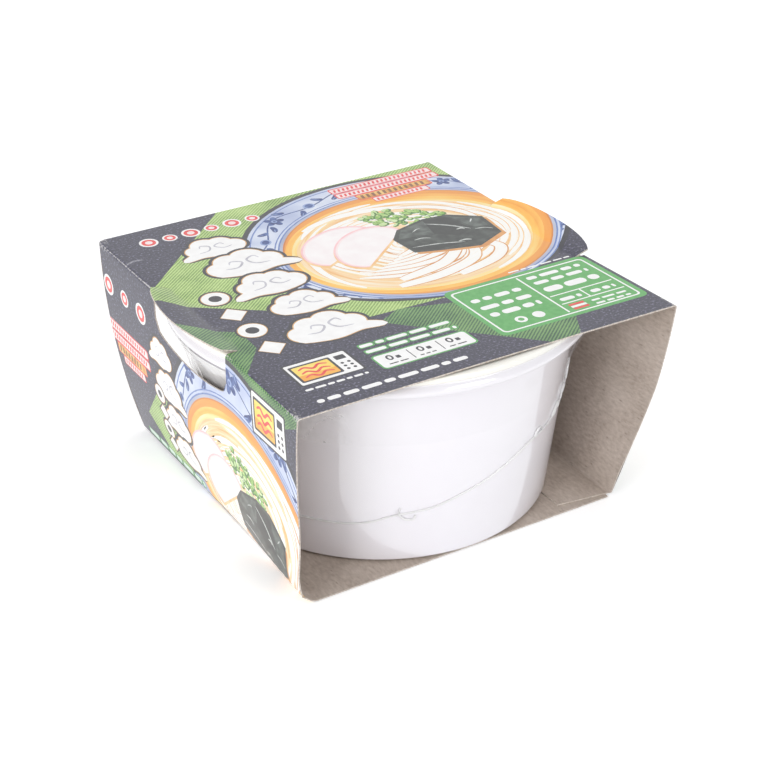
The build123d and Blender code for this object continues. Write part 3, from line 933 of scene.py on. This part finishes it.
def innerBoardMaterial():
    # recycled grey-brown board: dull, with short fibres and darker flecks
    material, tree, shader = newMaterial("recycledBoard", "#a2958b", 0.85, Specular_IOR_Level=0.3)
    sheet = uvOf(tree, "sheet")
    stretched = addNode(tree, "ShaderNodeMapping", {"in:Scale": (1.0, 0.35, 1.0)}, {"Vector": sheet})
    fibres = addNode(tree, "ShaderNodeTexNoise", {"in:Scale": 900, "in:Detail": 4.0, "in:Roughness": 0.7},
                     {"Vector": stretched.outputs[0]})
    blotch = addNode(tree, "ShaderNodeTexNoise", {"in:Scale": 70, "in:Detail": 3.0}, {"Vector": sheet})
    flecks = addNode(tree, "ShaderNodeTexVoronoi", {"in:Scale": 420}, {"Vector": stretched.outputs[0]})
    tone = addNode(tree, "ShaderNodeMath", {"operation": "MULTIPLY_ADD", "in:1": 0.5},
                   {"0": blotch.outputs["Fac"], "2": fibres.outputs["Fac"]})
    scaled = addNode(tree, "ShaderNodeMath", {"operation": "MULTIPLY", "in:1": 0.67}, {"0": tone.outputs[0]})
    color = ramp(tree, scaled.outputs[0], [(0.32, "#a3958a"), (0.5, "#bbaea3"), (0.68, "#cdc1b7")])
    fleck = addNode(tree, "ShaderNodeMapRange", {"in:From Min": 0.14, "in:From Max": 0.05, "in:To Max": 0.5},
                    {"Value": flecks.outputs["Distance"]})
    mix = addNode(tree, "ShaderNodeMix", {"data_type": "RGBA", "in:7": hexColor("#75665c")},
                  {"0": fleck.outputs[0], "6": color})
    tree.links.new(mix.outputs[2], shader.inputs["Base Color"])
    bump = addNode(tree, "ShaderNodeBump", {"in:Strength": 0.25, "in:Distance": 0.0002},
                   {"Height": fibres.outputs["Fac"]})
    tree.links.new(bump.outputs[0], shader.inputs["Normal"])
    return material


def cutEdgeMaterial():
    # cut board: pale coated layer over grey core, slightly fuzzy
    material, tree, shader = newMaterial("cutBoardEdge", "#b9aca2", 0.9)
    grain = addNode(tree, "ShaderNodeTexNoise", {"in:Scale": 1500, "in:Detail": 3.0},
                    {"Vector": addNode(tree, "ShaderNodeTexCoord").outputs["Object"]})
    tree.links.new(ramp(tree, grain.outputs["Fac"], [(0.35, "#b9ada3"), (0.65, "#e0d8d0")]),
                   shader.inputs["Base Color"])
    return material


bedOn = dict(top=(25, 14, 43.5, 34.5), left=(30, 19, 38, 32), right=(30, 19, 38, 32), bottom=(0, 0, 50, 50),
             flap=(0, 0, 50, 50))


def panelAt(s, onTongue):
    if onTongue:
        return "top"
    for name, (low, high) in panels.items():
        if low <= s <= high:
            return name
    return "bottom"


def sheetNormals(s, y):
    e = 0.02
    across = foldSheet(s + e, y, 0) - foldSheet(s - e, y, 0)
    along = foldSheet(s, y + e, 0) - foldSheet(s, y - e, 0)
    normal = np.cross(along, across)
    return normal / np.linalg.norm(normal, axis=1)[:, None]


def wearAt(s, y):
    outline = sheetOutline()
    near, far = outline[:7], outline[7:][::-1]
    low = np.interp(s, [p[0] for p in near], [p[1] for p in near])
    high = np.interp(s, sorted(p[0] for p in far), [p[1] for p in sorted(far)])
    fold = np.min([np.abs(s - f) for f in foldS], axis=0)
    edge = np.minimum(np.abs(y - low), np.abs(high - y))
    place = np.abs(y)
    along = 0.42 + 0.55 * np.exp(-((place - 27.5) / 2.5) ** 2) + 0.5 * np.clip((place - 67) / 6, 0, 1)
    return along * np.exp(-np.maximum(fold - 0.25, 0) / 0.4), 0.85 * np.exp(-edge / 0.25)


def buildSleeve():
    s, y = flatPoints[:, 0], flatPoints[:, 1]
    outer = foldSheet(s, y, 0)
    normals = sheetNormals(s, y)
    foldWear, edgeWear = wearAt(s, y)
    names = list(inks)
    slotOf = {name: k for k, name in enumerate(names)}
    faces, slots, faceNormals, sheetUv, artUv, wearUv = [], [], [], [], [], []
    for face, cover in zip(flatFaces, covers):
        cover = set(cover)
        if 0 not in cover and not cover & {2, 4}:
            continue
        onTongue = bool(cover & {2, 4})
        if cover & {1, 3} and not onTongue:
            continue
        middle = flatPoints[face].mean(axis=0)
        panel = panelAt(middle[0], onTongue)
        ink = "ground"
        for index in sorted((c for c in cover if c > 4), reverse=True):
            if shapes[index - 5][0] == panel:
                ink = shapes[index - 5][1]
                break
        cx, cy, a, b = bedOn[panel]
        loop = list(face)[::-1]
        faces.append(loop)
        slots.append(slotOf[ink])
        for v in loop:
            px, py = float(s[v]), float(y[v])
            own = {"top": (topMid - px, py), "left": (-py, foldS[3] - px),
                   "right": (py, px - foldS[0])}.get(panel, (px, py))
            sheetUv.append((px * mm, py * mm))
            artUv.append(((own[0] - cx) / a, (own[1] - cy) / b))
            wearUv.append((float(foldWear[v]), float(edgeWear[v])))
            faceNormals.append(tuple(normals[v]))
    return outer, names, faces, slots, faceNormals, sheetUv, artUv, wearUv


def backTriangulation():
    """The same blank without its print, for the unprinted side."""
    points, faces = [], []

    def addFace(loop):
        area = sum(a[0] * b[1] - a[1] * b[0] for a, b in zip(loop, loop[1:] + loop[:1]))
        loop = loop if area > 0 else loop[::-1]
        faces.append(list(range(len(points), len(points) + len(loop))))
        points.extend(loop)
    addFace(sheetOutline())
    for side in ("right", "left"):
        for loop in slotAndTongue(side):
            addFace(loop)
    edges = []
    lines = sorted({s for a, b in creases for s in np.linspace(a, b, 8)} | set(foldS))
    for s in lines:
        edges.append((len(points), len(points) + 1))
        points.extend([(s, -90), (s, 90)])
    for s in np.arange(2.0, sheetEnd, 3.0):         # each row also cuts the blank's two ends
        if min(abs(s - line) for line in lines) > 0.8:
            edges.append((len(points), len(points) + 1))
            points.extend([(s, -90), (s, 90)])
            points.extend([(s, y + 0.2 * math.sin(s)) for y in np.arange(-72.0, 73.0, 3.0)])
    result = delaunay_2d_cdt([Vector(p) for p in points], edges, faces, 0, 1e-4, True)
    keep = []
    for face, cover in zip(result[2], result[5]):
        cover = set(cover)
        if (0 in cover and not cover & {1, 3}) or cover & {2, 4}:
            keep.append(list(face))
    return np.array([tuple(v) for v in result[0]]), keep


outer, inkNames, faces, slots, faceNormals, sheetUv, artUv, wearUv = buildSleeve()
backPoints, backFaces = backTriangulation()
points = [tuple(p) for p in outer]
bs, by = backPoints[:, 0], backPoints[:, 1]
inside = foldSheet(bs, by, sleeve["board"])
front = foldSheet(bs, by, 0)
backNormals = -sheetNormals(bs, by)
startInside = len(points)
points += [tuple(p) for p in inside]
startFront = len(points)
points += [tuple(p) for p in front]
boardSlot, edgeSlot = len(inkNames), len(inkNames) + 1
seen = {}
for face in backFaces:
    faces.append([startInside + v for v in face])
    slots.append(boardSlot)
    for v in face:
        sheetUv.append((float(bs[v]) * mm, float(by[v]) * mm))
        artUv.append((0.0, 0.0))
        wearUv.append((0.0, 0.0))
        faceNormals.append(tuple(backNormals[v]))
    for a, b in zip(face, face[1:] + face[:1]):
        seen[(a, b)] = seen.get((a, b), 0) + 1
for (a, b) in list(seen):
    if (b, a) in seen:
        continue
    loop = [startInside + b, startInside + a, startFront + a, startFront + b]
    faces.append(loop)
    slots.append(edgeSlot)
    corner = [np.array(points[v]) for v in loop]
    normal = np.cross(corner[1] - corner[0], corner[3] - corner[0])
    size = np.linalg.norm(normal)
    normal = tuple(normal / size) if size > 1e-9 else (0.0, 0.0, 1.0)
    for v in (b, a, a, b):
        sheetUv.append((float(bs[v]) * mm, float(by[v]) * mm))
        artUv.append((0.0, 0.0))
        wearUv.append((0.0, 0.0))
        faceNormals.append(normal)

used = sorted({v for face in faces for v in face})       # the lines that shaped the sheet go
newIndex = {v: k for k, v in enumerate(used)}
points = [points[v] for v in used]
faces = [[newIndex[v] for v in face] for face in faces]
sleevePiece = meshPiece("sleeve_printed_board", points, faces,
                        [inks[name] for name in inkNames] + [innerBoardMaterial(), cutEdgeMaterial()], slots)
for name, values in (("sheet", sheetUv), ("art", artUv), ("wear", wearUv)):
    layer = sleevePiece.data.uv_layers.new(name=name)
    layer.data.foreach_set("uv", np.array(values, dtype=np.float32).ravel())
sleevePiece.data.normals_split_custom_set(faceNormals)
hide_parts("sleeve")
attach(sleevePiece, "root")
print("sleeve:", len(faces), "faces")


# ---------- bowl and lid, turned round the bowl's axis

bowl = dict(
    baseRadius=60.4, baseEdge=0.9, wallTop=68.3, rimOver=5.4, flange=1.2, skirt=1.2, skirtDrop=4.3,
    foot=bowlLow[2], seat=lidLow[2], lidInset=0.2, lidEdge=0.8, lidTop=lidHigh[2], segments=240)


def turned(name, profile, materials, slotAt=None, shift=None):
    """A piece of revolution about the bowl's axis. profile is (radius, z) from the axis and back to it."""
    count = bowl["segments"]
    points, faces, slots, rings = [], [], [], []
    for r, z in profile:
        if r < 1e-6:
            rings.append([len(points)])
            points.append((0.0, bowlY, z))
            continue
        rings.append(list(range(len(points), len(points) + count)))
        for k in range(count):
            t = 2 * math.pi * k / count
            dr = shift(t, r, z) if shift else 0.0
            points.append(((r + dr) * math.cos(t), bowlY + (r + dr) * math.sin(t), z))
    for row, (a, b) in enumerate(zip(rings, rings[1:])):
        for k in range(count):
            k2 = (k + 1) % count
            if len(a) == 1 and len(b) == 1:
                continue
            if len(a) == 1:
                faces.append((a[0], b[k2], b[k]))
            elif len(b) == 1:
                faces.append((a[k], a[k2], b[0]))
            else:
                faces.append((a[k], a[k2], b[k2], b[k]))
            slots.append(slotAt(row) if slotAt else 0)
    return meshPiece(name, points, faces, materials, slots)


def arcProfile(cx, cz, r, start, end, count=6):
    points = []
    for k in range(count + 1):
        t = math.radians(start + (end - start) * k / count)
        points.append((cx + r * math.cos(t), cz + r * math.sin(t)))
    return points


def bowlWall(z):
    share = (z - bowl["foot"] - bowl["baseEdge"]) / (bowl["seat"] - bowl["flange"] - bowl["foot"] - bowl["baseEdge"])
    return bowl["baseRadius"] + (bowl["wallTop"] - bowl["baseRadius"]) * share


def plastic(name, stops, roughness, bumpScale, bumpStrength, shine):
    # smooth white moulded plastic, with the slight unevenness that its reflections show
    material, tree, shader = newMaterial(name, stops[0], roughness, Coat_Weight=shine, Coat_Roughness=0.03,
                                         Coat_IOR=2.0)
    place = addNode(tree, "ShaderNodeTexCoord").outputs["Object"]
    cloudy = addNode(tree, "ShaderNodeTexNoise", {"in:Scale": 35, "in:Detail": 2.0}, {"Vector": place})
    tree.links.new(ramp(tree, cloudy.outputs["Fac"], [(0.3, stops[0]), (0.7, stops[1])]),
                   shader.inputs["Base Color"])
    waves = addNode(tree, "ShaderNodeTexNoise", {"in:Scale": bumpScale, "in:Detail": 2.0}, {"Vector": place})
    bump = addNode(tree, "ShaderNodeBump", {"in:Strength": bumpStrength, "in:Distance": 0.0006},
                   {"Height": waves.outputs["Fac"]})
    tree.links.new(bump.outputs[0], shader.inputs["Normal"])
    return material


def buildBowl():
    b = bowl
    low, top = b["foot"], b["seat"]
    rim = b["wallTop"] + b["rimOver"]
    under = top - b["flange"]
    profile = [(0, low), (30, low), (b["baseRadius"] - b["baseEdge"], low)]
    profile += arcProfile(b["baseRadius"] - b["baseEdge"], low + b["baseEdge"], b["baseEdge"], -90, 0)[1:]
    profile += [(bowlWall(z), z) for z in np.linspace(low + b["baseEdge"], under, 12)[1:]]
    profile += [(rim - b["skirt"], under), (rim - b["skirt"], top - b["skirtDrop"] + 0.3)]
    profile += arcProfile(rim - b["skirt"] / 2, top - b["skirtDrop"] + 0.3, b["skirt"] / 2 - 0.3, 180, 360, 6)
    profile += [(rim, top - b["skirtDrop"] + 0.6), (rim, top - 2.0), (rim - 0.25, top - 1.9), (rim - 0.25, top - 0.4)]
    profile += arcProfile(rim - 0.65, top - 0.4, 0.4, 0, 90, 4)
    profile += [(40, top), (0, top)]
    return turned("bowl_moulded", profile, [plastic("whiteMouldedPlastic", ["#efecf3", "#f4f2f8"], 0.35, 22, 0.05, 1.0)])


def buildLid():
    b = bowl
    r = b["wallTop"] + b["rimOver"] - b["lidInset"]
    low, top, edge = b["seat"], b["lidTop"], b["lidEdge"]
    profile = [(0, low), (40, low), (r - 0.3, low), (r, low + 0.25)]
    profile += arcProfile(r - edge, top - edge, edge, 0, 90, 6)
    profile += [(r - 3.2, top), (r - 3.6, top - 0.25), (r - 5.4, top - 0.3), (r - 5.9, top - 0.05), (30, top - 0.1), (0, top - 0.1)]
    return turned("lid_cream_foil", profile, [plastic("creamLidSheet", ["#fbf9f0", "#fdfcf6"], 0.42, 60, 0.08, 0.3)])


for piece, node, slotName in ((buildBowl(), "bowl", "bowl_plastic"), (buildLid(), "lid", "lid_film")):
    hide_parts(node)
    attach(piece, "root")
print("bowl and lid turned")


# ---------- shrink film

film = dict(thick=0.15, bridgeHeight=22.8, bridgeSag=1.3, crease=0.28, seed=11,
            seam=((-64, 16.2), (-56, 16.6), (-45, 16.6), (-35, 17.8), (-27, 20.6), (-15, 22.6), (-5, 26.1),
                  (2.5, 28.7), (11, 32.2), (20, 35.6), (34, 37.5), (44, 42.2), (56, 47.0)))


def filmRadius(z):
    """Outer face of the film at height z, with the span from the skirt in to the wall."""
    skirtZ = bowl["seat"] - bowl["skirtDrop"]
    foot = skirtZ - film["bridgeHeight"]
    rim = bowl["wallTop"] + bowl["rimOver"] + film["thick"]
    if z >= skirtZ:
        return rim
    if z <= foot:
        return bowlWall(z) + film["thick"]
    t = (z - foot) / (skirtZ - foot)
    start = bowlWall(foot) + film["thick"]
    return start + (rim - start) * t - 4 * film["bridgeSag"] * t * (1 - t)


def filmCrease(t, r, z):
    """Fine upright pleats where the film is drawn in under the rim; the film on the wall below stays smooth."""
    skirtZ = bowl["seat"] - bowl["skirtDrop"]
    if z > skirtZ + 0.5 or z < bowl["foot"] + 2 or r < 55:
        return 0.0
    foot = skirtZ - film["bridgeHeight"]
    pull = smooth((z - foot + 2) / 6) * smooth((skirtZ - z) / 3)
    pleat = noise.noise(Vector((math.cos(t) * 9, math.sin(t) * 9, z * 0.03 + 4)))
    fine = noise.noise(Vector((math.cos(t) * 26, math.sin(t) * 26, z * 0.06)))
    return film["crease"] * pull * (1.0 + 1.0 * pleat + 0.6 * fine)


def filmMaterial(name, alpha, roughness, milky=0.0):
    # clear shrink film: nearly invisible, with a soft gloss broken by small creases
    material, tree, shader = newMaterial(name, "#ffffff", roughness, Alpha=alpha, Coat_Weight=1.0,
                                         Coat_Roughness=0.08, Specular_IOR_Level=0.8)
    place = addNode(tree, "ShaderNodeTexCoord").outputs["Object"]
    turned_ = addNode(tree, "ShaderNodeMapping", {"in:Scale": (1.0, 1.0, 0.5), "in:Rotation": (0.0, 0.5, 0.3)},
                      {"Vector": place})
    crease = addNode(tree, "ShaderNodeTexNoise", {"in:Scale": 75, "in:Detail": 4.0, "in:Distortion": 2.4},
                     {"Vector": turned_.outputs[0]})
    bump = addNode(tree, "ShaderNodeBump", {"in:Strength": 0.35, "in:Distance": 0.0012},
                   {"Height": crease.outputs["Fac"]})
    tree.links.new(bump.outputs[0], shader.inputs["Normal"])
    if milky:                                       # bunched and whiter toward both slots
        split = addNode(tree, "ShaderNodeSeparateXYZ", links={"Vector": place})
        aside = addNode(tree, "ShaderNodeMath", {"operation": "ABSOLUTE"}, {"0": split.outputs["X"]})
        patchy = addNode(tree, "ShaderNodeMath", {"operation": "MULTIPLY_ADD", "in:1": 0.02},
                         {"0": crease.outputs["Fac"], "2": aside.outputs[0]})
        veil = addNode(tree, "ShaderNodeMapRange", {"in:From Min": 0.054, "in:From Max": 0.072,
                                                    "in:To Min": alpha, "in:To Max": milky},
                       {"Value": patchy.outputs[0]})
        tree.links.new(veil.outputs[0], shader.inputs["Alpha"])
    return material


def buildFilm():
    b = bowl
    low = b["foot"] - film["thick"]
    top = b["lidTop"] + film["thick"]
    rim = b["wallTop"] + b["rimOver"] + film["thick"]
    profile = [(0, low), (30, low), (b["baseRadius"] - b["baseEdge"], low)]
    profile += arcProfile(b["baseRadius"] - b["baseEdge"], b["foot"] + b["baseEdge"],
                          b["baseEdge"] + film["thick"], -90, 0)[1:]
    profile += [(filmRadius(z), z) for z in np.arange(b["foot"] + b["baseEdge"] + 1.5, b["seat"] - b["skirtDrop"], 1.2)]
    profile += [(rim, b["seat"] - b["skirtDrop"] + 0.1), (rim, top - b["lidEdge"])]
    profile += arcProfile(rim - b["lidEdge"], top - b["lidEdge"], b["lidEdge"], 0, 90, 6)[1:]
    profile += [(40, top), (0, top)]
    skirtZ = b["seat"] - b["skirtDrop"]

    def slackRow(row):                              # the span off the wall is milkier
        z = (profile[row][1] + profile[row + 1][1]) / 2
        return 1 if skirtZ - film["bridgeHeight"] + 2 < z < skirtZ and profile[row][0] > 60 else 0
    return turned("shrink_film_skin", profile,
                  [filmMaterial("clearShrinkFilm", 0.07, 0.12), filmMaterial("slackShrinkFilm", 0.1, 0.22, 0.72)],
                  slackRow, filmCrease)


def wallPoint(degrees, z, out):
    t = math.radians(degrees)
    r = filmRadius(z) + out
    return (r * math.sin(t) * mm, (bowlY - r * math.cos(t)) * mm, z * mm)


def seamLine():
    """The welded seam's way over the film, with small ripples, as a curve in metres."""
    rng_ = random.Random(film["seed"])
    line = curve(list(film["seam"]), 16)
    points = []
    for k, (degrees, z) in enumerate(line):
        rough = 0.25 + 0.75 * smooth((degrees - 0) / 40)
        z += 0.5 * rough * noise.noise(Vector((degrees * 0.5, 0, 3))) + 0.22 * rough * rng_.uniform(-1, 1)
        points.append(wallPoint(degrees, z, 0.12 + 0.25 * rough * rng_.random()))
    loops = [points]
    for hook in (((-25.2, 23.6), (-25.6, 21.2), (-24.0, 19.0), (-21.4, 18.6), (-20.6, 20.2)),
                 ((22.0, 36.4), (23.6, 38.6), (25.8, 38.2), (26.2, 36.6)),
                 ((33.0, 38.0), (35.4, 40.6), (37.6, 41.4), (38.4, 40.0), (37.8, 39.0)),
                 ((40.0, 40.6), (40.6, 43.8), (43.0, 45.2), (44.4, 43.6), (43.2, 42.4)),
                 ((48.0, 44.0), (49.6, 47.6), (52.4, 49.6), (54.0, 47.4))):
        loops.append([wallPoint(degrees, z, 0.35) for degrees, z in curve(list(hook), 6)])
    data = bpy.data.curves.new("seamPath", "CURVE")
    data.dimensions = "3D"
    for loop in loops:
        spline = data.splines.new("POLY")
        spline.points.add(len(loop) - 1)
        for point, place in zip(spline.points, loop):
            point.co = (*place, 1.0)
    piece = bpy.data.objects.new("seamPath", data)
    bpy.context.scene.collection.objects.link(piece)
    return piece


def addSocket(tree, name, kind, value=None):
    socket = tree.interface.new_socket(name=name, in_out="INPUT", socket_type=kind)
    if value is not None:
        socket.default_value = value
    return socket.identifier


def seamNodes(material):
    """Geometry Nodes: a flat crimped ribbon swept along the seam, with short creases fanning from it."""
    tree = bpy.data.node_groups.new("filmSeam", "GeometryNodeTree")
    tree.interface.new_socket(name="Geometry", in_out="INPUT", socket_type="NodeSocketGeometry")
    ids = {
        "width": addSocket(tree, "Seam width", "NodeSocketFloat", 0.0007),
        "creases": addSocket(tree, "Crease spacing", "NodeSocketFloat", 0.0021),
        "length": addSocket(tree, "Crease length", "NodeSocketFloat", 0.0042),
        "seed": addSocket(tree, "Seed", "NodeSocketInt", 3)}
    tree.interface.new_socket(name="Geometry", in_out="OUTPUT", socket_type="NodeSocketGeometry")
    source = addNode(tree, "NodeGroupInput").outputs
    line = addNode(tree, "GeometryNodeResampleCurve", {"mode": "LENGTH", "in:Length": 0.0004}, {"Curve": source[0]})
    ripple = addNode(tree, "ShaderNodeTexNoise", {"in:Scale": 700.0, "in:Detail": 2.0})
    size = addNode(tree, "ShaderNodeMapRange", {"in:From Min": 0.3, "in:From Max": 0.7, "in:To Min": 0.55,
                                                "in:To Max": 1.5}, {"Value": ripple.outputs["Fac"]})
    along = addNode(tree, "GeometryNodeSplineParameter")
    bolder = addNode(tree, "ShaderNodeMapRange", {"in:From Min": 0.35, "in:From Max": 0.85, "in:To Min": 0.6,
                                                  "in:To Max": 2.6}, {"Value": along.outputs["Factor"]})
    wide = addNode(tree, "ShaderNodeMath", {"operation": "MULTIPLY"}, {"0": size.outputs[0],
                                                                       "1": bolder.outputs[0]})
    radius = addNode(tree, "GeometryNodeSetCurveRadius", links={"Curve": line.outputs[0],
                                                                "Radius": wide.outputs[0]})
    twist = addNode(tree, "GeometryNodeSetCurveTilt", links={"Curve": radius.outputs[0],
                                                             "Tilt": ripple.outputs["Fac"]})
    section = addNode(tree, "GeometryNodeCurvePrimitiveQuadrilateral", {"in:Height": 0.00016},
                      {"Width": source["Seam width"]})
    ribbon = addNode(tree, "GeometryNodeCurveToMesh", {"in:Fill Caps": True},
                     {"Curve": twist.outputs[0], "Profile Curve": section.outputs[0]})
    spots = addNode(tree, "GeometryNodeCurveToPoints", {"mode": "LENGTH"},
                    {"Curve": source[0], "Length": source["Crease spacing"]})
    blade = addNode(tree, "GeometryNodeMeshCone", {"in:Vertices": 5, "in:Radius Bottom": 0.00016},
                    {"Depth": source["Crease length"]})
    turn = addNode(tree, "FunctionNodeRandomValue", {"data_type": "FLOAT_VECTOR", "in:0": (-0.5, -0.5, 0.0),
                                                     "in:1": (0.9, 0.6, 6.28)}, {"Seed": source["Seed"]})
    long = addNode(tree, "FunctionNodeRandomValue", {"data_type": "FLOAT", "in:2": 0.25, "in:3": 1.0},
                   {"Seed": source["Seed"]})
    spread = addNode(tree, "ShaderNodeMath", {"operation": "MULTIPLY"}, {"0": long.outputs[1],
                                                                         "1": bolder.outputs[0]})
    many = addNode(tree, "GeometryNodeInstanceOnPoints", links={
        "Points": spots.outputs[0], "Instance": blade.outputs[0], "Rotation": turn.outputs[0],
        "Scale": spread.outputs[0]})
    joined = addNode(tree, "GeometryNodeJoinGeometry")
    tree.links.new(ribbon.outputs[0], joined.inputs[0])
    tree.links.new(many.outputs[0], joined.inputs[0])
    real = addNode(tree, "GeometryNodeRealizeInstances", links={"Geometry": joined.outputs[0]})
    coated = addNode(tree, "GeometryNodeSetMaterial", {"in:Material": material}, {"Geometry": real.outputs[0]})
    addNode(tree, "NodeGroupOutput", links={"0": coated.outputs[0]})
    return tree, ids


def evaluated(name, source, tree, values):
    """Runs a node group on an object and keeps the result as a plain mesh."""
    modifier = source.modifiers.new("nodes", "NODES")
    modifier.node_group = tree
    for key, value in values.items():
        modifier[key] = value
    bpy.context.view_layer.update()
    graph = bpy.context.evaluated_depsgraph_get()
    mesh = bpy.data.meshes.new_from_object(source.evaluated_get(graph))
    source.modifiers.remove(modifier)
    bpy.data.objects.remove(source, do_unlink=True)
    mesh.name = name
    piece = bpy.data.objects.new(name, mesh)
    bpy.context.scene.collection.objects.link(piece)
    return piece


filmPiece = buildFilm()
seamTree, seamIds = seamNodes(filmMaterial("weldedFilmSeam", 0.75, 0.25))
seamPiece = evaluated("shrink_film_seam", seamLine(), seamTree,
                      {seamIds["width"]: 0.0007, seamIds["creases"]: 0.0021, seamIds["length"]: 0.0042,
                       seamIds["seed"]: 3})
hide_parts("shrink_film")
for piece in (filmPiece, seamPiece):
    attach(piece, "root")
print("film and seam made:", len(seamPiece.data.polygons), "faces on the seam")
